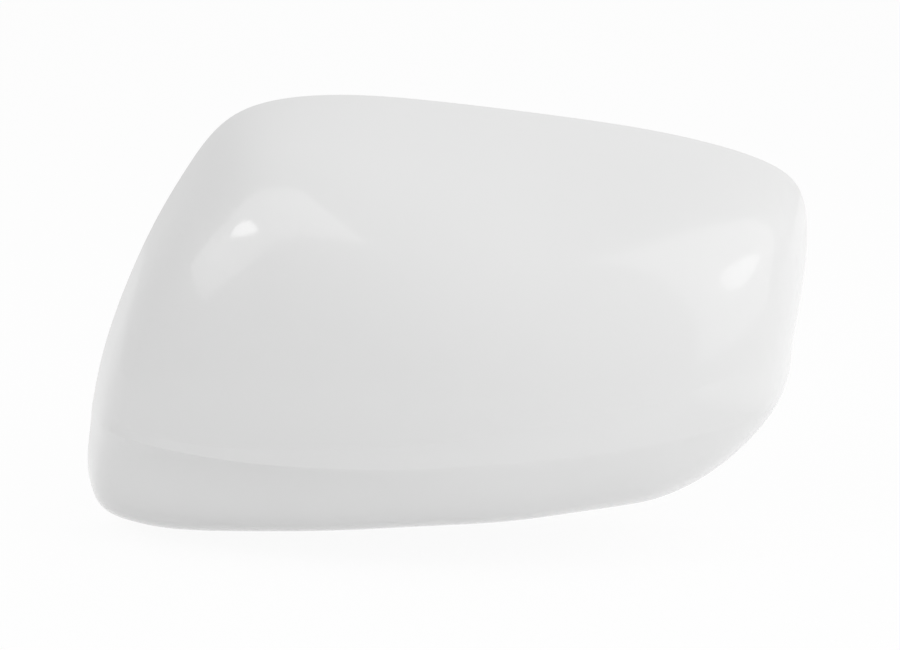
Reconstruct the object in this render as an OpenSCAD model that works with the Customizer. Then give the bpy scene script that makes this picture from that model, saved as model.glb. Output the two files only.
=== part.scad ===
// Cover of a door mirror: one moulded shell, 2.5 mm thick, with its clips and pins inside.
// Seen from the front: X to the right (towards the door), Z up, Y away from the viewer.
// The open rim is flat and lies in the plane Y = 0. The shell bulges towards -Y.
// The origin is the middle of the rim's box. All sizes are in millimetres.

/* [Shell] */
// Width of the rim
shell_w = 225; // [190:1:250]
// Height of the rim
shell_h = 134.5; // [115:0.5:150]
// Depth from the rim to the nose
shell_depth = 68; // [55:1:80]
// Thickness of the wall
wall = 2.5; // [2:0.1:3.5]
// Radius of the front face seen from above
plan_radius = 200; // [180:5:400]
// Radius of the front face seen from the side
rise_radius = 150; // [130:5:300]
// Sideways position of the nose
nose_x = 17; // [-10:1:30]
// Height of the nose
nose_z = -28; // [-35:1:0]

/* [Edges] */
// Angle of the top face, from straight back
top_angle = 27; // [18:1:32]
// Draft of the outer end
outer_draft = 12; // [8:0.5:16]
// Draft of the end towards the door
inner_draft = 10; // [7:0.5:14]
// Draft of the underside
bottom_draft = 4; // [3:0.5:7]
// Sharpness of the shoulder
top_sharpness = 3.2; // [2.6:0.1:4]
// Sharpness of the two ends
end_sharpness = 2.6; // [2.2:0.1:3.6]
// Sharpness of the lower edge
bottom_sharpness = 3; // [2.6:0.1:4]

/* [Lower crease] */
// How far the crease stands out from the front
step_depth = 1.2; // [0.6:0.1:2]
// Depth of the hollow under the crease at the outer end
hollow_depth = 1.7; // [0:0.1:2.5]
// Height of the ledge over the crease in the middle
ledge_height = 8; // [6:0.5:12]
// Height of the ledge at the outer end
ledge_end = 3; // [1.5:0.1:5]
// Height over which the lower band goes back again
band_return = 22; // [16:1:26]

/* [Fixings] */
// Radius of a locating pin
pin_r = 2.5; // [2:0.1:2.8]
// Length of a locating pin
pin_length = 18; // [12:1:22]
// Depth of the pins' tips behind the rim
pin_tip = 6; // [3:1:10]
// Radius of the boss under a pin
boss_r = 4; // [3.4:0.1:4.2]
// Sideways position of the pin at the outer end
pin_outer_x = -40; // [-44:1:-25]
// Sideways position of the pin at the door end
pin_inner_x = 62; // [40:1:64]
// Height of the two pins
pin_z = -16; // [-18:1:-8]
// Width of a clip
clip_w = 14; // [10:1:18]
// Thickness of a clip
clip_t = 2.2; // [1.8:0.1:2.6]
// Reach of a clip past the rim
clip_reach = 6; // [4:0.5:9]
// Depth of a clip's root inside the shell
clip_root = 10; // [8:1:14]
// Height of a clip's barb
clip_barb = 1.6; // [1:0.1:2.2]

/* [Hidden] */
$fn = 64;
// Corners of the curve that draws the rim, in hundredths of the half width and half height.
// The closed curve runs past them from the outer end over the top and back underneath.
rim_corners = [
    [-99, -51], [-94.5, -13], [-81.5, 37.5], [-71, 65.5], [-59, 95], [-34.5, 101], [-10, 99],
    [35.5, 89.5], [63, 82.5], [93.5, 68.5], [100.5, 51], [100, 16.5], [96, -21.5], [95, -37],
    [80.5, -64.5], [59, -87.5], [29, -86], [-18, -89.5], [-67.5, -102], [-87.5, -99.5], [-101.5, -90.5]
];
// The crease across the lower front, in the same hundredths
crease_line = [
    [-101, -46], [-78, -50], [-51, -52.5], [-16, -51.5], [15, -48],
    [41.5, -44], [64, -38.5], [81, -34], [92, -31], [101, -30]
];
// Share of the step along the crease: [place, share]
step_share = [
    [-101, 0], [-96, 0.2], [-86, 0.5], [-70, 0.7], [-34, 0.9], [20, 0.9], [55, 0.9], [82, 1.1],
    [101, 0.6]
];
// Share of the hollow's depth along the crease
hollow_share = [[-101, 0], [-92, 0.7], [-80, 1], [-50, 0.7], [-20, 0.3], [10, 0], [101, 0]];
// How far the band under the crease turns back: 1 is wholly, 0 is where it runs on as the ledge does
turn_share = [[-101, 1], [20, 1], [45, 1], [60, 0.7], [74, 0.3], [88, 0.1], [101, 0]];
// Share of the ledge's height along the crease, from its end height to 1.5 times the middle one
ledge_share = [
    [-101, 0], [-70, 0], [-38, 0.25], [2, 0.55], [46, 1], [57, 1], [73, 1.3], [82, 1.2], [101, 0.7]
];
// Places of the clips along the rim: two on top, two underneath
clip_places = [6, 8.5, 16, 18.5];
core_share = 0.55;
core_z = -14;
columns_each = 4;
columns = columns_each * len(rim_corners);
rows_front = 12;
rows_ledge = 3;
rows_band = 13;
// The columns at the rim's left and right ends, and how many steps lead over the top between them
left_column = 20 * columns_each;
right_column = 10 * columns_each;
over_top = right_column - left_column + columns;
rows = rows_front + rows_ledge + rows_band;
first_row = 0.08;

function smooth(q) = let (c = min(max(q, 0), 1)) c * c * (3 - 2 * c);
function bump(angle, centre, half) =
    let (far = abs((angle - centre + 540) % 360 - 180))
    smooth(0.5 + 0.5 * cos(180 * min(far / half, 1)));

// A closed curve drawn by its corners
function corner(k) = let (c = rim_corners[(k + len(rim_corners)) % len(rim_corners)])
    [c[0] * shell_w / 200, c[1] * shell_h / 200];
function rim(t) = let (k = floor(t), f = t - k)
    (corner(k - 1) * pow(1 - f, 3)
    + corner(k) * (3 * f * f * f - 6 * f * f + 4)
    + corner(k + 1) * (3 * f * f + 3 * f + 1 - 3 * f * f * f)
    + corner(k + 2) * f * f * f) / 6;

// A smooth open curve through points given in hundredths of the half width
function slope(p, k) =
    let (a = p[max(k - 1, 0)], b = p[min(k + 1, len(p) - 1)])
    (b[1] - a[1]) / (b[0] - a[0]);
function span(p, u, k = 0) = (k >= len(p) - 2 || u < p[k + 1][0]) ? k : span(p, u, k + 1);
function along(p, x) =
    let (
        u = min(max(200 * x / shell_w, p[0][0]), p[len(p) - 1][0]),
        k = span(p, u),
        h = p[k + 1][0] - p[k][0],
        q = (u - p[k][0]) / h
    )
    (1 + 2 * q) * (1 - q) * (1 - q) * p[k][1] + q * (1 - q) * (1 - q) * h * slope(p, k)
    + q * q * (3 - 2 * q) * p[k + 1][1] + q * q * (q - 1) * h * slope(p, k + 1);

function crease_z(x) = along(crease_line, x) * shell_h / 200;
function ledge_at(x) = ledge_end + (1.5 * ledge_height - ledge_end) * along(ledge_share, x);

function step_at(x) = step_depth * max(along(step_share, x), 0);

// The cubic of the hollow peaks at 4 / 27, so that it is as deep as hollow_depth says
function hollow_at(x) = 27 / 4 * hollow_depth * max(along(hollow_share, x), 0);

// How far the skin stands out at a place: most on the crease, least in the hollow under it
function stand_out(x, z) =
    let (over = z - crease_z(x), slope = 1 - over / ledge_at(x))
    over > 0 ? step_at(x) * max(slope, 0)
    : let (down = max(1 + over / band_return, 0), turned = along(turn_share, x))
        turned * down * down * (step_at(x) - hollow_at(x) * (1 - down)) + (1 - turned) * step_at(x) * slope;

// The front face and the walls, each as a depth over the rim; their blend is the skin
function front_depth(x, z) =
    shell_depth - pow(x - nose_x, 2) / (2 * plan_radius) - pow(z - nose_z, 2) / (2 * rise_radius);

// Everything that depends only on the column: rim point, core point, reach, wall angle, sharpness
function column(t) =
    let (
        p = rim(t),
        c = [core_share * p[0], core_z],
        d = rim(t + 0.001) - rim(t - 0.001),
        out = [-d[1], d[0]] / norm(d),
        face = atan2(p[1], 0.75 * p[0]),
        top = bump(face, 85, 95),
        low = bump(face, -95, 80),
        ends = inner_draft + (outer_draft - inner_draft) * smooth(0.5 - p[0] / 160),
        angle = ends + (top_angle - ends) * top + (bottom_draft - ends) * low,
        sharp = end_sharpness + (top_sharpness - end_sharpness) * top
            + (bottom_sharpness - end_sharpness) * low
    )
    [p, c, (p - c) * out / tan(angle), sharp];
function skin(t, s) =
    let (
        col = column(t),
        q = col[1] + (col[0] - col[1]) * s,
        w = col[2] * (1 - s * s * s) / (3 * max(s, 0.02)) + 1e-9,
        y = pow(pow(front_depth(q[0], q[1]), -col[3]) + pow(w, -col[3]), -1 / col[3])
    )
    [q[0], -y, q[1]];
function normal(t, s) =
    let (n = cross(skin(t + 0.001, s) - skin(t - 0.001, s), skin(t, s) - skin(t, s - 0.001)))
    n * (n[1] > 0 ? -1 : 1) / norm(n);

// Where a column crosses the crease, as a share of the column
function crossing(col, a = 0.2, b = 1, n = 22) =
    let (m = (a + b) / 2, q = col[1] + (col[0] - col[1]) * m)
    n == 0 ? m
    : q[1] > crease_z(q[0]) ? crossing(col, m, b, n - 1)
    : crossing(col, a, m, n - 1);
function row_shares(t) =
    let (
        col = column(t),
        far = 0.8 - 0.1 * bump(atan2(col[0][1], col[0][0]), 90, 80),
        crease = min(crossing(col), far),
        place = col[1] + (col[0] - col[1]) * crease,
        ledge = crease - min(max(ledge_at(place[0]) / norm(col[0] - col[1]), 0.03), 0.3)
    )
    [for (j = [0:rows])
        j <= rows_front ? first_row + (ledge - first_row) * j / rows_front
        : j <= rows_front + rows_ledge ? ledge + (crease - ledge) * (j - rows_front) / rows_ledge
        : crease + (1 - crease) * (1 - pow((rows - j) / rows_band, 2.2))];

// One vertex of the outer skin and its partner on the inner skin
function pair(t, s) =
    let (
        p = skin(t, s >= 1 ? 1 : s),
        n = normal(t, s),
        flat = norm([n[0], n[2]]),
        rim_near = 1 - smooth(-p[1] / 6),
        inward = -[n[0] / (rim_near * flat + 1 - rim_near), n[1] * (1 - rim_near),
            n[2] / (rim_near * flat + 1 - rim_near)],
        thick = wall * (rim_near > 0 ? (1 - rim_near) + rim_near / flat : 1),
        out = stand_out(p[0], p[2]),
        q = s >= 1 ? [p[0], 0, p[2]] : p
    )
    [q - inward * out, q + inward * (thick - out)];

grid = [for (i = [0:columns - 1]) let (t = i / columns_each, shares = row_shares(t))
    [for (s = shares) pair(t, s)]];
layer = columns * (rows + 1);
function at(i, j, inner) = (inner ? layer : 0) + (i % columns) * (rows + 1) + j;

// The strip that closes a skin at the core line: at each step the side that lags moves on
function first_x(k) = grid[(k + columns) % columns][0][0][0];
function strip(i, j) =
    let (a = (left_column + i) % columns, d = left_column - j)
    i == over_top - 1 && j == columns - over_top - 1 ? [[a, a + 1, d]]
    : j == columns - over_top - 1 || (i < over_top - 1 && first_x(a + 1) < first_x(d - 1))
        ? concat([[a, a + 1, d]], strip(i + 1, j))
        : concat([[a, d - 1, d]], strip(i, j + 1));

module skin_body() {
    points = [for (side = [0, 1]) for (i = [0:columns - 1]) for (j = [0:rows]) grid[i][j][side]];
    sides = [for (inner = [false, true]) for (i = [0:columns - 1]) for (j = [0:rows - 1])
        for (half = [0, 1])
            let (
                a = at(i, j, inner),
                b = at(i + 1, j, inner),
                c = at(i + 1, j + 1, inner),
                d = at(i, j + 1, inner),
                short = norm(points[a] - points[c]) <= norm(points[b] - points[d]),
                f = half == 0 ? (short ? [a, b, c] : [a, b, d]) : (short ? [a, c, d] : [b, c, d])
            )
            inner ? f : [f[2], f[1], f[0]]];
    caps = [for (inner = [false, true])
        for (f = concat([[left_column, left_column + 1, left_column - 1]], strip(1, 1)))
            let (g = [for (k = f) at(k, 0, inner)])
            inner ? [g[2], g[1], g[0]] : g];
    edge = [for (i = [0:columns - 1]) for (half = [0, 1])
        let (
            a = at(i, rows, false),
            b = at(i + 1, rows, false),
            c = at(i + 1, rows, true),
            d = at(i, rows, true),
            f = half == 0 ? [a, b, c] : [a, c, d]
        )
        [f[2], f[1], f[0]]];
    polyhedron(points = points, faces = concat(sides, caps, edge), convexity = 8);
}

module locating_pin(x) {
    foot = front_depth(x, pin_z) - wall / 2;
    translate([x, -pin_tip - pin_length, pin_z])
        rotate([-90, 0, 0])
            cylinder(r = pin_r, h = pin_length);
    translate([x, -foot, pin_z])
        rotate([-90, 0, 0])
            cylinder(r = boss_r, h = foot - pin_tip - pin_length);
}

// A clip on the inner wall at rim place t: a straight tongue with a barb that points inward
module clip(t) {
    p = rim(t);
    d = rim(t + 0.01) - rim(t - 0.01);
    lean = tan(p[1] > 0 ? top_angle : bottom_draft);
    face = wall * sqrt(1 + lean * lean);
    near = face + 0.4;
    foot = max(near + clip_t, clip_root * lean + face + 0.5);
    translate([p[0], 0, p[1]])
        rotate([0, -atan2(d[1], d[0]), 0])
            rotate([90, 0, 90])
                translate([0, 0, -clip_w / 2])
                    linear_extrude(height = clip_w)
                        polygon([
                            [-clip_root, -clip_root * lean - 0.6 * face],
                            [-1.5, -1.5 * lean - 0.6 * face], [-1, -near],
                            [clip_reach, -near], [clip_reach, -near - 0.7 * clip_t],
                            [clip_reach - 3, -near - clip_t - clip_barb],
                            [clip_reach - 4, -near - clip_t], [-clip_root, -foot]
                        ]);
}

module mirror_cover() {
    color([0.93, 0.93, 0.92])
        union() {
            skin_body();
            locating_pin(pin_outer_x);
            locating_pin(pin_inner_x);
            for (t = clip_places) clip(t);
        }
}

mirror_cover();
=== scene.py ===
"""Looks of the door mirror cover: one painted, moulded shell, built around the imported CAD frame.

X runs to the photograph's right (towards the door), Z up, and the cover bulges towards -Y.
The rim lies in the plane Y = 0. Blender works in metres; the shell's own sizes below are in millimetres and
are those of the part's source. The clips' reach and the floor's height are read from the frame.
"""
import math

import bpy
import numpy as np
from mathutils import Matrix, Vector


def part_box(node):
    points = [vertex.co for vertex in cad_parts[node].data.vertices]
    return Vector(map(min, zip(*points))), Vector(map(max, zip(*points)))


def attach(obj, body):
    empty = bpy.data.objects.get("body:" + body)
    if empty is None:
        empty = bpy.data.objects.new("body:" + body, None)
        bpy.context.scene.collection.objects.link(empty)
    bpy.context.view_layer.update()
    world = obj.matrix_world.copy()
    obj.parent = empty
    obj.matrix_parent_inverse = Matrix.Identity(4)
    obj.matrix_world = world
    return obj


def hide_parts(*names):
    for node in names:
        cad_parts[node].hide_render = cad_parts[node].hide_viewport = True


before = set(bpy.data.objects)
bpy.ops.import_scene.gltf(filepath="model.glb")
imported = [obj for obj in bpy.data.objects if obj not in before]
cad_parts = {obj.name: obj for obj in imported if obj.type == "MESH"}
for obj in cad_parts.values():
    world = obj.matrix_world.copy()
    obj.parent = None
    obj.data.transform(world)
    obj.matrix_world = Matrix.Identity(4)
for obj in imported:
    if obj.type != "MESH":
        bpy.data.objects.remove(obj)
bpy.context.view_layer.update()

MM = 0.001
NODE = "mirror_cover"
box_low, box_high = (np.array(corner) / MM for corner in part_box(NODE))


# sizes, as in the part's source

# The clips are all that stands behind the rim
CLIP_REACH = box_high[1]
WIDTH = 225.0
HEIGHT = 134.5
DEPTH = 68.0
WALL = 2.5
# The front's crown radii, seen from above and from the side, and the place of its deepest point
PLAN_RADIUS, RISE_RADIUS = 200.0, 150.0
NOSE_X, NOSE_Z = 17.0, -28.0
# How far the walls lean, in degrees, and how sharp their shoulders are
TOP_ANGLE, OUTER_DRAFT, INNER_DRAFT, BOTTOM_DRAFT = 27.0, 12.0, 10.0, 4.0
TOP_SHARP, END_SHARP, BOTTOM_SHARP = 3.2, 2.6, 3.0
# How far the crease stands out, two heights for the ledge above it, and the height of the band under it
STEP_DEPTH, LEDGE_HEIGHT, LEDGE_END, BAND_RETURN = 1.2, 8.0, 3.0, 22.0
HOLLOW_DEPTH = 1.7
# The hollow's cubic peaks at 4 / 27, so this makes it as deep as HOLLOW_DEPTH says
HOLLOW_SCALE = 27 / 4 * HOLLOW_DEPTH
# Pins on their bosses, then clips
PIN_R, PIN_LENGTH, PIN_TIP, BOSS_R = 2.5, 18.0, 6.0, 4.0
PIN_XS, PIN_Z = (-40.0, 62.0), -16.0
CLIP_W, CLIP_T, CLIP_ROOT, CLIP_BARB = 14.0, 2.2, 10.0, 1.6
# The space between a clip and the inside of the rim, and how far its barb reaches back from its end
CLIP_GAP = 0.4
BARB_EDGE, BARB_BACK = 3, 4
# Places of the clips along the rim: two on top, two underneath
CLIP_PLACES = (6, 8.5, 16, 18.5)
# The line that all columns start from, as a share of the rim's place across, and its height
CORE_SHARE, CORE_Z = 0.55, -14.0
# The top face and the underside, as (middle, half width) in degrees round the rim, seen from its middle
TOP_FACE, LOW_FACE = (85, 95), (-95, 80)
# x counts for this much in these angles
FACE_SQUEEZE = 0.75
# The width over which the draft of one end turns into that of the other
DRAFT_BLEND = 160
# Within this height of the rim the wall's thickness turns to lie in the rim's plane
RIM_ZONE = 6

# Small roundings that the part's source leaves to this script
EDGE_ROUND = 0.25
PIN_ROUND = 0.5
BOSS_CHAMFER = 0.3

# Corners of the rim's closed curve, in hundredths of the half width and half height
RIM_CORNERS = np.array([
    (-99, -51), (-94.5, -13), (-81.5, 37.5), (-71, 65.5), (-59, 95), (-34.5, 101), (-10, 99),
    (35.5, 89.5), (63, 82.5), (93.5, 68.5), (100.5, 51), (100, 16.5), (96, -21.5), (95, -37),
    (80.5, -64.5), (59, -87.5), (29, -86), (-18, -89.5), (-67.5, -102), (-87.5, -99.5), (-101.5, -90.5)])
RIM_CORNERS = RIM_CORNERS * (WIDTH / 200, HEIGHT / 200)
# The crease across the lower front, in the same hundredths
CREASE_LINE = np.array([(-101, -46), (-78, -50), (-51, -52.5), (-16, -51.5), (15, -48),
                        (41.5, -44), (64, -38.5), (81, -34), (92, -31), (101, -30)])
# How the step, the band's turn back, the hollow and the ledge change along the crease: (place, share)
STEP_SHARE = np.array([(-101, 0), (-96, 0.2), (-86, 0.5), (-70, 0.7), (-34, 0.9), (20, 0.9), (55, 0.9),
                       (82, 1.1), (101, 0.6)])
TURN_SHARE = np.array([(-101, 1), (20, 1), (45, 1), (60, 0.7), (74, 0.3), (88, 0.1), (101, 0)])
HOLLOW_SHARE = np.array([(-101, 0), (-92, 0.7), (-80, 1), (-50, 0.7), (-20, 0.3), (10, 0), (101, 0)])
LEDGE_SHARE = np.array([(-101, 0), (-70, 0), (-38, 0.25), (2, 0.55), (46, 1), (57, 1), (73, 1.3), (82, 1.2),
                        (101, 0.7)])

# The numbers that faces give for their material
PAINTED, BARE = 0, 1

# The mesh: columns from the core line to the rim, and the rows across them
COLUMNS_EACH = 12
COLUMNS = COLUMNS_EACH * len(RIM_CORNERS)
# The columns at the rim's left and right ends, and how many steps lead over the top and underneath
LEFT_COLUMN = 20 * COLUMNS_EACH
RIGHT_COLUMN = 10 * COLUMNS_EACH
OVER_TOP = RIGHT_COLUMN - LEFT_COLUMN + COLUMNS
UNDER = COLUMNS - OVER_TOP
ROWS_FRONT, ROWS_LEDGE, ROWS_BAND = 56, 14, 50
# The share of a column at which its first row lies
FIRST_ROW = 0.06
# The last share at which the ledge's rows may end, on the sides and on top
LAST_CREASE, LAST_CREASE_TOP = 0.8, 0.7
# The least and the most share of a column that the ledge's rows take
LEDGE_ROWS_LEAST, LEDGE_ROWS_MOST = 0.03, 0.3
# How strongly the band's rows crowd together towards the rim
CROWDING = 2.2
# Steps of each rounded rim edge, and of a full turn of a pin
EDGE_STEPS = 6
TURNED_STEPS = 48
# Edges that bend by more than this many degrees are shown sharp
SHARP_ANGLE = 32
# The small step that slopes are worked out with
NEARBY = 1e-3


# the skin's formula

def smooth(q):
    """A soft step from 0 to 1."""
    q = np.clip(q, 0, 1)
    return q * q * (3 - 2 * q)


def bump(angle, centre, half):
    """1 at the centre angle, falling softly to 0 at half on either side, in degrees."""
    far = np.abs((angle - centre + 540) % 360 - 180)
    return smooth(0.5 + 0.5 * np.cos(np.pi * np.minimum(far / half, 1)))


def rim(t):
    """The closed curve of the rim; t runs one unit from corner to corner."""
    k = np.floor(t).astype(int)
    f = (t - k)[..., None]

    def corner(i):
        return RIM_CORNERS[(k + i) % len(RIM_CORNERS)]

    return (corner(-1) * (1 - f) ** 3 + corner(0) * (3 * f ** 3 - 6 * f ** 2 + 4)
            + corner(1) * (3 * f ** 2 + 3 * f + 1 - 3 * f ** 3) + corner(2) * f ** 3) / 6


def along(points, x):
    """A smooth curve through points given in hundredths of the half width."""
    px, pz = points[:, 0], points[:, 1]
    last = len(px) - 1
    k = np.arange(len(px))
    low, high = np.maximum(k - 1, 0), np.minimum(k + 1, last)
    slope = (pz[high] - pz[low]) / (px[high] - px[low])
    u = np.clip(200 * x / WIDTH, px[0], px[-1])
    i = np.clip(np.searchsorted(px, u, side="right") - 1, 0, last - 1)
    h = px[i + 1] - px[i]
    q = (u - px[i]) / h
    return ((1 + 2 * q) * (1 - q) ** 2 * pz[i] + q * (1 - q) ** 2 * h * slope[i]
            + q * q * (3 - 2 * q) * pz[i + 1] + q * q * (q - 1) * h * slope[i + 1])


def crease_z(x):
    """Height of the crease."""
    return along(CREASE_LINE, x) * HEIGHT / 200


def ledge_at(x):
    """Height of the ledge above the crease: LEDGE_END at share 0, one and a half LEDGE_HEIGHT at share 1."""
    return LEDGE_END + (1.5 * LEDGE_HEIGHT - LEDGE_END) * along(LEDGE_SHARE, x)


def stand_out(x, z):
    """How far the skin stands out: most on the crease, least in the hollow under it."""
    over = z - crease_z(x)
    step = STEP_DEPTH * np.maximum(along(STEP_SHARE, x), 0)
    hollow = HOLLOW_SCALE * np.maximum(along(HOLLOW_SHARE, x), 0)
    down = np.clip(1 + over / BAND_RETURN, 0, 1)
    slope = 1 - over / ledge_at(x)
    turn = along(TURN_SHARE, x)
    band = turn * (step - hollow * (1 - down)) * down ** 2 + (1 - turn) * step * slope
    return np.where(over > 0, step * np.maximum(slope, 0), band)


def front_depth(x, z):
    """Depth of the crowned front over the rim."""
    return DEPTH - (x - NOSE_X) ** 2 / (2 * PLAN_RADIUS) - (z - NOSE_Z) ** 2 / (2 * RISE_RADIUS)


def column(t):
    """A column's rim point and core point, the reach of its wall and the sharpness of its shoulder."""
    p = rim(t)
    core = np.stack([CORE_SHARE * p[..., 0], np.full(p.shape[:-1], CORE_Z)], -1)
    d = rim(t + NEARBY) - rim(t - NEARBY)
    out = np.stack([-d[..., 1], d[..., 0]], -1) / np.linalg.norm(d, axis=-1, keepdims=True)
    face = np.degrees(np.arctan2(p[..., 1], FACE_SQUEEZE * p[..., 0]))
    top, low = bump(face, *TOP_FACE), bump(face, *LOW_FACE)
    ends = INNER_DRAFT + (OUTER_DRAFT - INNER_DRAFT) * smooth(0.5 - p[..., 0] / DRAFT_BLEND)
    angle = ends + (TOP_ANGLE - ends) * top + (BOTTOM_DRAFT - ends) * low
    sharp = END_SHARP + (TOP_SHARP - END_SHARP) * top + (BOTTOM_SHARP - END_SHARP) * low
    reach = ((p - core) * out).sum(-1) / np.tan(np.radians(angle))
    return p, core, reach, sharp


def skin(t, s):
    """A point of the skin without its crease, at share s of column t: the front and the wall, blended."""
    t, s = np.broadcast_arrays(np.asarray(t, float), np.asarray(s, float))
    p, core, reach, sharp = column(t)
    q = core + (p - core) * s[..., None]
    # The wall leans by its draft at the rim and runs to a great depth towards the core line
    wall = reach * (1 - s ** 3) / (3 * np.maximum(s, 0.02)) + 1e-9
    depth = (front_depth(q[..., 0], q[..., 1]) ** -sharp + wall ** -sharp) ** (-1 / sharp)
    return np.stack([q[..., 0], -depth, q[..., 1]], -1)


def normal(t, s):
    """The direction out of the skin."""
    n = np.cross(skin(t + NEARBY, s) - skin(t - NEARBY, s), skin(t, s) - skin(t, np.asarray(s) - NEARBY))
    n /= np.linalg.norm(n, axis=-1, keepdims=True)
    return n * np.where(n[..., 1:2] > 0, -1, 1)


def pair(t, s):
    """Points of the outer skin and of the inner skin behind them."""
    p, n = skin(t, s), normal(t, s)
    near = 1 - smooth(-p[..., 1] / RIM_ZONE)
    flat = np.hypot(n[..., 0], n[..., 2])
    bend = near * flat + 1 - near
    inward = -np.stack([n[..., 0] / bend, n[..., 1] * (1 - near), n[..., 2] / bend], -1)
    thick = WALL * ((1 - near) + near / flat)
    out = stand_out(p[..., 0], p[..., 2])
    return p - inward * out[..., None], p + inward * (thick - out)[..., None]


def crossing(t):
    """Where a column crosses the crease, as a share of the column; near 1 if it stays above it."""
    p, core = column(t)[:2]
    low, high = np.full(len(t), 0.2), np.ones(len(t))
    for _ in range(24):
        mid = (low + high) / 2
        q = core + (p - core) * mid[:, None]
        above = q[:, 1] > crease_z(q[:, 0])
        low, high = np.where(above, mid, low), np.where(above, high, mid)
    return mid


def row_shares(t):
    """The rows of a column, as shares of it: front, ledge and band, up to where the rim's rounding starts."""
    p, core, reach = column(t)[:3]
    top = bump(np.degrees(np.arctan2(p[:, 1], p[:, 0])), 90, 80)
    crease = np.minimum(crossing(t), LAST_CREASE + (LAST_CREASE_TOP - LAST_CREASE) * top)
    place = core + (p - core) * crease[:, None]
    ledge_rows = ledge_at(place[:, 0]) / np.linalg.norm(p - core, axis=1)
    ledge = crease - np.clip(ledge_rows, LEDGE_ROWS_LEAST, LEDGE_ROWS_MOST)
    front = FIRST_ROW + (ledge - FIRST_ROW)[:, None] * np.linspace(0, 1, ROWS_FRONT + 1)[:-1]
    step = ledge[:, None] + (crease - ledge)[:, None] * np.linspace(0, 1, ROWS_LEDGE + 1)[:-1]
    last = 1 - EDGE_ROUND / reach
    crowded = 1 - (1 - np.linspace(0, 1, ROWS_BAND + 1)) ** CROWDING
    band = crease[:, None] + (last - crease)[:, None] * crowded
    return np.concatenate([front, step, band], 1)


# mesh

def round_rim(ends, corners):
    """Rows from the outer skin's last row round the rim's two edges to the inner skin's, as curves whose
    handles are the sharp corners."""
    across = corners[1] - corners[0]
    across /= np.linalg.norm(across, axis=1, keepdims=True)
    curves = []
    for end, corner, side in zip(ends, corners, (1, -1)):
        flat = corner + across * side * EDGE_ROUND
        curves.append([(1 - u) ** 2 * end + 2 * u * (1 - u) * corner + u * u * flat
                       for u in np.linspace(0, 1, EDGE_STEPS + 1)[1:]])
    return np.stack(curves[0] + curves[1][::-1], 1)


def strip(xs):
    """The triangles that close a skin at the core line: at each step the side that lags moves on."""
    ring = [(LEFT_COLUMN, LEFT_COLUMN + 1, LEFT_COLUMN - 1)]
    i = j = 1
    while i < OVER_TOP - 1 or j < UNDER - 1:
        a, d = LEFT_COLUMN + i, LEFT_COLUMN - j
        if j == UNDER - 1 or (i < OVER_TOP - 1 and xs[(a + 1) % COLUMNS] < xs[d - 1]):
            ring.append((a, a + 1, d))
            i += 1
        else:
            ring.append((a, d - 1, d))
            j += 1
    return ring + [(LEFT_COLUMN + i, LEFT_COLUMN + i + 1, LEFT_COLUMN - j)]


def shell_mesh():
    """Corners and faces of the shell, and each face's material."""
    t = np.arange(COLUMNS) / COLUMNS * len(RIM_CORNERS)
    shares = row_shares(t)
    outer, inner = pair(t[:, None], shares)
    # The rim's sharp corners, set on its plane
    corners = pair(t, np.ones(COLUMNS))
    corners[0][:, 1] = corners[1][:, 1] = 0
    edge = round_rim((outer[:, -1], inner[:, -1]), corners)
    loops = np.concatenate([outer, edge, inner[:, ::-1]], 1)
    rows = loops.shape[1]
    verts = loops.reshape(-1, 3)
    faces, kinds = [], []
    outside_rows = outer.shape[1] + EDGE_STEPS
    for i in range(COLUMNS):
        a, b = i * rows, (i + 1) % COLUMNS * rows
        for j in range(rows - 1):
            faces.append((a + j, a + j + 1, b + j + 1, b + j))
            kinds.append(PAINTED if j < outside_rows else BARE)
    for j, flip in ((0, False), (rows - 1, True)):
        for ring in strip(verts[np.arange(COLUMNS) * rows + j, 0]):
            ring = tuple(k % COLUMNS * rows + j for k in ring)
            faces.append(ring[::-1] if flip else ring)
            kinds.append(PAINTED if j == 0 else BARE)
    return verts, faces, kinds


def turned(profile, centre):
    """A solid of revolution about Y: profile is a list of (radius, y), from one end to the other."""
    verts, faces = [], []
    for radius, y in profile:
        for k in range(TURNED_STEPS):
            a = 2 * math.pi * k / TURNED_STEPS
            verts.append((centre[0] + radius * math.cos(a), y, centre[1] + radius * math.sin(a)))
    for r in range(len(profile) - 1):
        ring, above = r * TURNED_STEPS, (r + 1) * TURNED_STEPS
        for k in range(TURNED_STEPS):
            n = (k + 1) % TURNED_STEPS
            faces.append((ring + k, above + k, above + n, ring + n))
    faces.append(tuple(range(TURNED_STEPS)))
    faces.append(tuple((len(profile) - 1) * TURNED_STEPS + k for k in range(TURNED_STEPS))[::-1])
    return verts, faces


def pin_profile(x):
    """Radius and y of a pin on its boss, from inside the wall to the pin's rounded tip."""
    foot = front_depth(x, PIN_Z) - WALL / 2
    shoulder, tip, r = -PIN_TIP - PIN_LENGTH, -PIN_TIP, PIN_ROUND
    return [(BOSS_R, -foot), (BOSS_R, shoulder - BOSS_CHAMFER), (BOSS_R - BOSS_CHAMFER, shoulder),
            (PIN_R, shoulder), (PIN_R, tip - r), (PIN_R - 0.15 * r, tip - 0.4 * r),
            (PIN_R - 0.5 * r, tip - 0.1 * r), (PIN_R - r, tip)]


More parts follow.
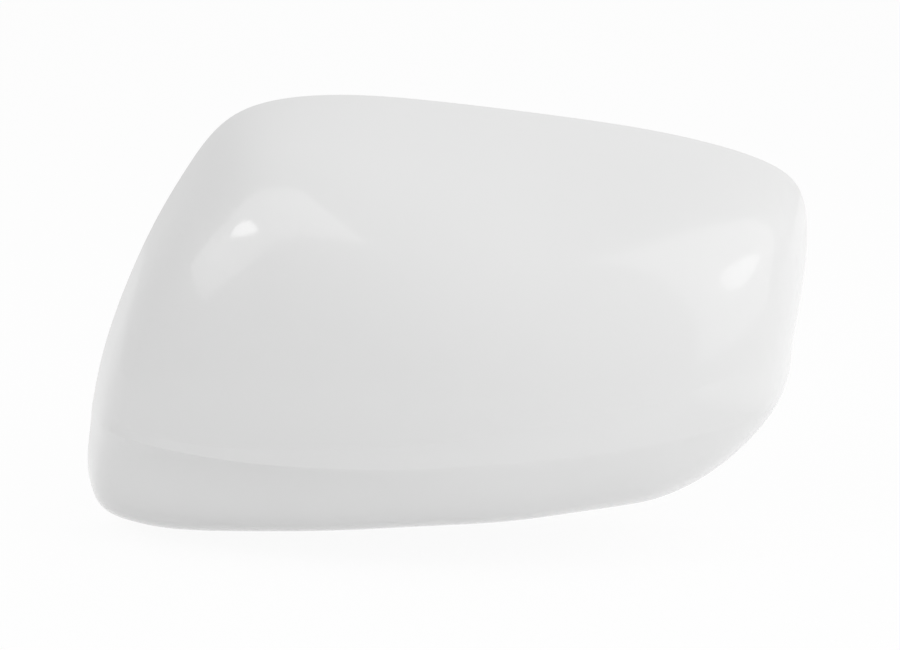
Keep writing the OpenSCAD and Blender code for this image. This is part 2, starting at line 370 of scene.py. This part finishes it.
def clip_mesh(t):
    """A straight tongue with a barb; its section is drawn in (Y, inwards) and swept along the rim."""
    t = np.array([float(t)])
    p = rim(t)[0]
    d = (rim(t + 0.01) - rim(t - 0.01))[0]
    d /= np.linalg.norm(d)
    out = np.array([-d[1], d[0]])
    lean = math.tan(math.radians(TOP_ANGLE if p[1] > 0 else BOTTOM_DRAFT))
    face = WALL * math.sqrt(1 + lean * lean)
    near = face + CLIP_GAP
    foot = max(near + CLIP_T, CLIP_ROOT * lean + face + 0.5)
    # Up inside the wall, off it just below the rim, over the end, down the barb's slope and back to the root
    section = [(-CLIP_ROOT, CLIP_ROOT * lean + 0.6 * face), (-1.5, 1.5 * lean + 0.6 * face), (-1, near),
               (CLIP_REACH, near), (CLIP_REACH, near + 0.7 * CLIP_T),
               (CLIP_REACH - BARB_EDGE, near + CLIP_T + CLIP_BARB),
               (CLIP_REACH - BARB_BACK, near + CLIP_T), (-CLIP_ROOT, foot)]
    verts = []
    for side in (-0.5, 0.5):
        for y, inward in section:
            q = p + d * side * CLIP_W - out * inward
            verts.append((q[0], y, q[1]))
    n = len(section)
    faces = [(k, (k + 1) % n, n + (k + 1) % n, n + k) for k in range(n)]
    faces += [tuple(range(n))[::-1], tuple(range(n, 2 * n))]
    return verts, faces


def facing_out(verts, faces):
    """The faces of a closed mesh, turned so that they look outwards."""
    triangles = np.array([(face[0], b, c) for face in faces for b, c in zip(face[1:], face[2:])])
    a, b, c = np.asarray(verts, float)[triangles].transpose(1, 0, 2)
    volume = (a * np.cross(b, c)).sum()
    return faces if volume > 0 else [face[::-1] for face in faces]


def build_piece(name, parts, materials):
    """One object from several meshes, each with its material's number for every face."""
    verts, faces, kinds = [], [], []
    for part_verts, part_faces, part_kinds in parts:
        start = len(verts)
        verts += [tuple(float(c) * MM for c in v) for v in part_verts]
        faces += [tuple(start + k for k in f) for f in facing_out(part_verts, part_faces)]
        kinds += part_kinds
    mesh = bpy.data.meshes.new(name)
    mesh.from_pydata(verts, [], faces)
    mesh.polygons.foreach_set("material_index", kinds)
    mesh.validate()
    for material in materials:
        mesh.materials.append(material)
    mesh.shade_smooth()
    mesh.set_sharp_from_angle(angle=math.radians(SHARP_ANGLE))
    piece = bpy.data.objects.new(name, mesh)
    bpy.context.scene.collection.objects.link(piece)
    return piece


# materials

def new_material(name):
    """A material with its nodes, links and main shader."""
    material = bpy.data.materials.new(name)
    material.use_nodes = True
    nodes = material.node_tree.nodes
    return material, nodes, material.node_tree.links, nodes["Principled BSDF"]


def noise(nodes, links, coords, scale, detail=3.0):
    """A cloudy pattern fixed to the object."""
    node = nodes.new("ShaderNodeTexNoise")
    node.inputs["Scale"].default_value = scale
    node.inputs["Detail"].default_value = detail
    links.new(coords.outputs["Object"], node.inputs["Vector"])
    return node


def spread(nodes, links, source, low, high):
    """The pattern as a number between low and high."""
    node = nodes.new("ShaderNodeMapRange")
    node.inputs["To Min"].default_value, node.inputs["To Max"].default_value = low, high
    links.new(source.outputs["Fac"], node.inputs["Value"])
    return node


def tint(nodes, links, source, dark, light):
    """The pattern as a colour between dark and light."""
    ramp = nodes.new("ShaderNodeValToRGB")
    ramp.color_ramp.elements[0].color = (*dark, 1)
    ramp.color_ramp.elements[1].color = (*light, 1)
    links.new(source.outputs["Fac"], ramp.inputs["Fac"])
    return ramp


def bumps(nodes, links, source, height, shader):
    """The pattern as a relief of the given height in metres."""
    node = nodes.new("ShaderNodeBump")
    node.inputs["Strength"].default_value = 1.0
    node.inputs["Distance"].default_value = height
    links.new(source.outputs["Fac"], node.inputs["Height"])
    links.new(node.outputs["Normal"], shader.inputs["Normal"])


def painted_white():
    """Gloss white paint under clear lacquer: a faint drift in tone and the lacquer's slight flow texture."""
    material, nodes, links, shader = new_material("gloss_white_paint")
    coords = nodes.new("ShaderNodeTexCoord")
    drift = noise(nodes, links, coords, 9.0)
    tone = tint(nodes, links, drift, (0.795, 0.797, 0.797), (0.812, 0.812, 0.810))
    links.new(tone.outputs["Color"], shader.inputs["Base Color"])
    dullness = spread(nodes, links, noise(nodes, links, coords, 60.0), 0.26, 0.32)
    links.new(dullness.outputs["Result"], shader.inputs["Roughness"])
    bumps(nodes, links, noise(nodes, links, coords, 220.0, 1.0), 2.5e-6, shader)
    shader.inputs["IOR"].default_value = 1.5
    shader.inputs["Specular IOR Level"].default_value = 0.3
    shader.inputs["Coat Weight"].default_value = 0.6
    shader.inputs["Coat Roughness"].default_value = 0.07
    return material


def moulded_white():
    """The bare plastic inside: white, satin, with the fine grain of a spark-eroded mould."""
    material, nodes, links, shader = new_material("moulded_white_inside")
    coords = nodes.new("ShaderNodeTexCoord")
    cloud = noise(nodes, links, coords, 14.0)
    tone = tint(nodes, links, cloud, (0.70, 0.70, 0.685), (0.74, 0.74, 0.73))
    links.new(tone.outputs["Color"], shader.inputs["Base Color"])
    dullness = spread(nodes, links, noise(nodes, links, coords, 320.0), 0.42, 0.58)
    links.new(dullness.outputs["Result"], shader.inputs["Roughness"])
    bumps(nodes, links, noise(nodes, links, coords, 1400.0, 2.0), 2e-5, shader)
    shader.inputs["IOR"].default_value = 1.5
    return material


# the piece

parts = [shell_mesh()]
for x in PIN_XS:
    verts, faces = turned(pin_profile(x), (x, PIN_Z))
    parts.append((verts, faces, [BARE] * len(faces)))
for place in CLIP_PLACES:
    verts, faces = clip_mesh(place)
    parts.append((verts, faces, [BARE] * len(faces)))
cover = build_piece("cover_shell", parts, [painted_white(), moulded_white()])
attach(cover, "root")
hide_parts(NODE)


# camera

VIEW_ELEVATION = math.radians(12.0)
VIEW_DISTANCE = 0.9
# The photograph's middle, in the part's frame
LOOK_AT = Vector((0.0018, -0.035, 0.0023))
towards = Vector((0, -math.cos(VIEW_ELEVATION), math.sin(VIEW_ELEVATION)))
camera_data = bpy.data.cameras.new("camera")
camera_data.lens, camera_data.sensor_width = 120.0, 36.0
camera_data.clip_start = 0.05
camera = bpy.data.objects.new("camera", camera_data)
camera.location = LOOK_AT + towards * VIEW_DISTANCE
camera.rotation_euler = towards.to_track_quat("Z", "Y").to_euler()
bpy.context.scene.collection.objects.link(camera)
bpy.context.scene.camera = camera


# floor, world and lamps

# The point that the lamps face, in metres
MIDDLE = (0, -0.04, 0.015)
# Strength of the white surroundings mirrored in the paint
WHITE_IN_PAINT = 0.8
# The floor: half its width and the gap under the part in metres, its grey, and how far it shows as white
FLOOR_SIZE, FLOOR_GAP = 6.0, 0.0002
FLOOR_GREY, FLOOR_SHARE = 0.9, 0.94


def white_to_the_eye(material, diffuse, share):
    """Shows a surface as white to camera, mirror and glass rays, but for the share that keeps its shadow."""
    nodes, links = material.node_tree.nodes, material.node_tree.links
    path = nodes.new("ShaderNodeLightPath")
    seen = path.outputs["Is Camera Ray"]
    for ray in ("Is Glossy Ray", "Is Transmission Ray"):
        most = nodes.new("ShaderNodeMath")
        most.operation = "MAXIMUM"
        links.new(seen, most.inputs[0])
        links.new(path.outputs[ray], most.inputs[1])
        seen = most.outputs[0]
    part = nodes.new("ShaderNodeMath")
    part.operation = "MULTIPLY"
    part.inputs[1].default_value = share
    links.new(seen, part.inputs[0])
    glow = nodes.new("ShaderNodeEmission")
    glow.inputs["Color"].default_value = (1, 1, 1, 1)
    mix = nodes.new("ShaderNodeMixShader")
    links.new(part.outputs[0], mix.inputs[0])
    links.new(diffuse.outputs[0], mix.inputs[1])
    links.new(glow.outputs[0], mix.inputs[2])
    links.new(mix.outputs[0], nodes["Material Output"].inputs["Surface"])


def floor_piece():
    """A wide floor just under the part, staged."""
    size, low = FLOOR_SIZE, box_low[2] * MM - FLOOR_GAP
    mesh = bpy.data.meshes.new("floor")
    mesh.from_pydata([(-size, -size, low), (size, -size, low), (size, size, low), (-size, size, low)],
                     [], [(0, 1, 2, 3)])
    material, nodes, links, shader = new_material("floor_white")
    nodes.remove(shader)
    diffuse = nodes.new("ShaderNodeBsdfDiffuse")
    diffuse.inputs["Color"].default_value = (FLOOR_GREY, FLOOR_GREY, FLOOR_GREY, 1)
    white_to_the_eye(material, diffuse, FLOOR_SHARE)
    mesh.materials.append(material)
    floor = bpy.data.objects.new("floor", mesh)
    bpy.context.scene.collection.objects.link(floor)


def set_world(even, slope, high, high_right):
    """Light from all round: even, with a slope along each axis and terms for z * z and x * z."""
    world = bpy.data.worlds.new("studio")
    bpy.context.scene.world = world
    world.use_nodes = True
    nodes, links = world.node_tree.nodes, world.node_tree.links
    dim = nodes["Background"]
    dim.inputs["Color"].default_value = (1, 1, 1, 1)

    def math_node(kind, a, b):
        node = nodes.new("ShaderNodeMath")
        node.operation = kind
        for socket, value in zip(node.inputs, (a, b)):
            if isinstance(value, float):
                socket.default_value = value
            else:
                links.new(value, socket)
        return node.outputs[0]

    coords = nodes.new("ShaderNodeTexCoord")
    split = nodes.new("ShaderNodeSeparateXYZ")
    links.new(coords.outputs["Generated"], split.inputs[0])
    x, y, z = split.outputs
    total = even
    for factor, term in ((slope[0], x), (slope[1], y), (slope[2], z),
                         (high, math_node("MULTIPLY", z, z)), (high_right, math_node("MULTIPLY", x, z))):
        total = math_node("ADD", total, math_node("MULTIPLY", term, factor))
    links.new(math_node("MAXIMUM", total, 0.0), dim.inputs["Strength"])
    white = nodes.new("ShaderNodeBackground")
    white.inputs["Color"].default_value = (1, 1, 1, 1)
    path = nodes.new("ShaderNodeLightPath")
    more_to_camera = math_node("MULTIPLY", path.outputs["Is Camera Ray"], 1 - WHITE_IN_PAINT)
    links.new(math_node("ADD", more_to_camera, WHITE_IN_PAINT), white.inputs["Strength"])
    seen = math_node("MAXIMUM", path.outputs["Is Camera Ray"], path.outputs["Is Glossy Ray"])
    seen = math_node("MAXIMUM", seen, path.outputs["Is Transmission Ray"])
    mix = nodes.new("ShaderNodeMixShader")
    links.new(seen, mix.inputs[0])
    links.new(dim.outputs[0], mix.inputs[1])
    links.new(white.outputs[0], mix.inputs[2])
    links.new(mix.outputs[0], nodes["World Output"].inputs["Surface"])


def direction(azimuth, elevation):
    """Azimuth from the camera's side towards +X, elevation from level, both in degrees."""
    a, e = math.radians(azimuth), math.radians(elevation)
    return Vector((math.sin(a) * math.cos(e), -math.cos(a) * math.cos(e), math.sin(e)))


def softbox(name, towards, wide, distance, shift, size, radiance, shape="RECTANGLE", turn=0):
    """A flat lamp facing the part: it lies along towards, moved by shift along its own width and height."""
    back = towards.normalized()
    across = (wide - back * wide.dot(back)).normalized()
    high = back.cross(across)
    data = bpy.data.lights.new(name, "AREA")
    data.shape = shape
    data.size, data.size_y = size
    area = size[0] * size[1] * (math.pi / 4 if shape == "ELLIPSE" else 1)
    data.energy = radiance * math.pi * area
    light = bpy.data.objects.new(name, data)
    place = Vector(MIDDLE) + back * distance + across * shift[0] + high * shift[1]
    spin = Matrix.Rotation(math.radians(turn), 3, back)
    facing = (spin @ Matrix((across, high, back)).transposed()).to_4x4()
    light.matrix_world = Matrix.Translation(place) @ facing
    bpy.context.scene.collection.objects.link(light)


LEFT, LEFT_WIDE = direction(-51, 44), Vector((0.809, -0.092, 0.58))
RIGHT, RIGHT_WIDE = direction(60, 33), Vector((0.5, 0.866, 0))
floor_piece()
set_world(0.66, (0.175, 0.103, 0.084), -0.052, -0.09)
softbox("left_strip", LEFT, LEFT_WIDE, 1.1, (-0.1, 0.04), (1.04, 0.42), 1.2)
softbox("left_core", LEFT, LEFT_WIDE, 1.05, (-0.275, 0.035), (0.2, 0.09), 5.5, "ELLIPSE", -40)
softbox("right_box", RIGHT, RIGHT_WIDE, 1.1, (0.06, 0.03), (0.96, 1.42), 0.9)
softbox("right_core", RIGHT, RIGHT_WIDE, 1.05, (-0.07, -0.11), (0.36, 0.32), 2.0, "ELLIPSE", -45)
bpy.context.scene.view_settings.view_transform = "Standard"
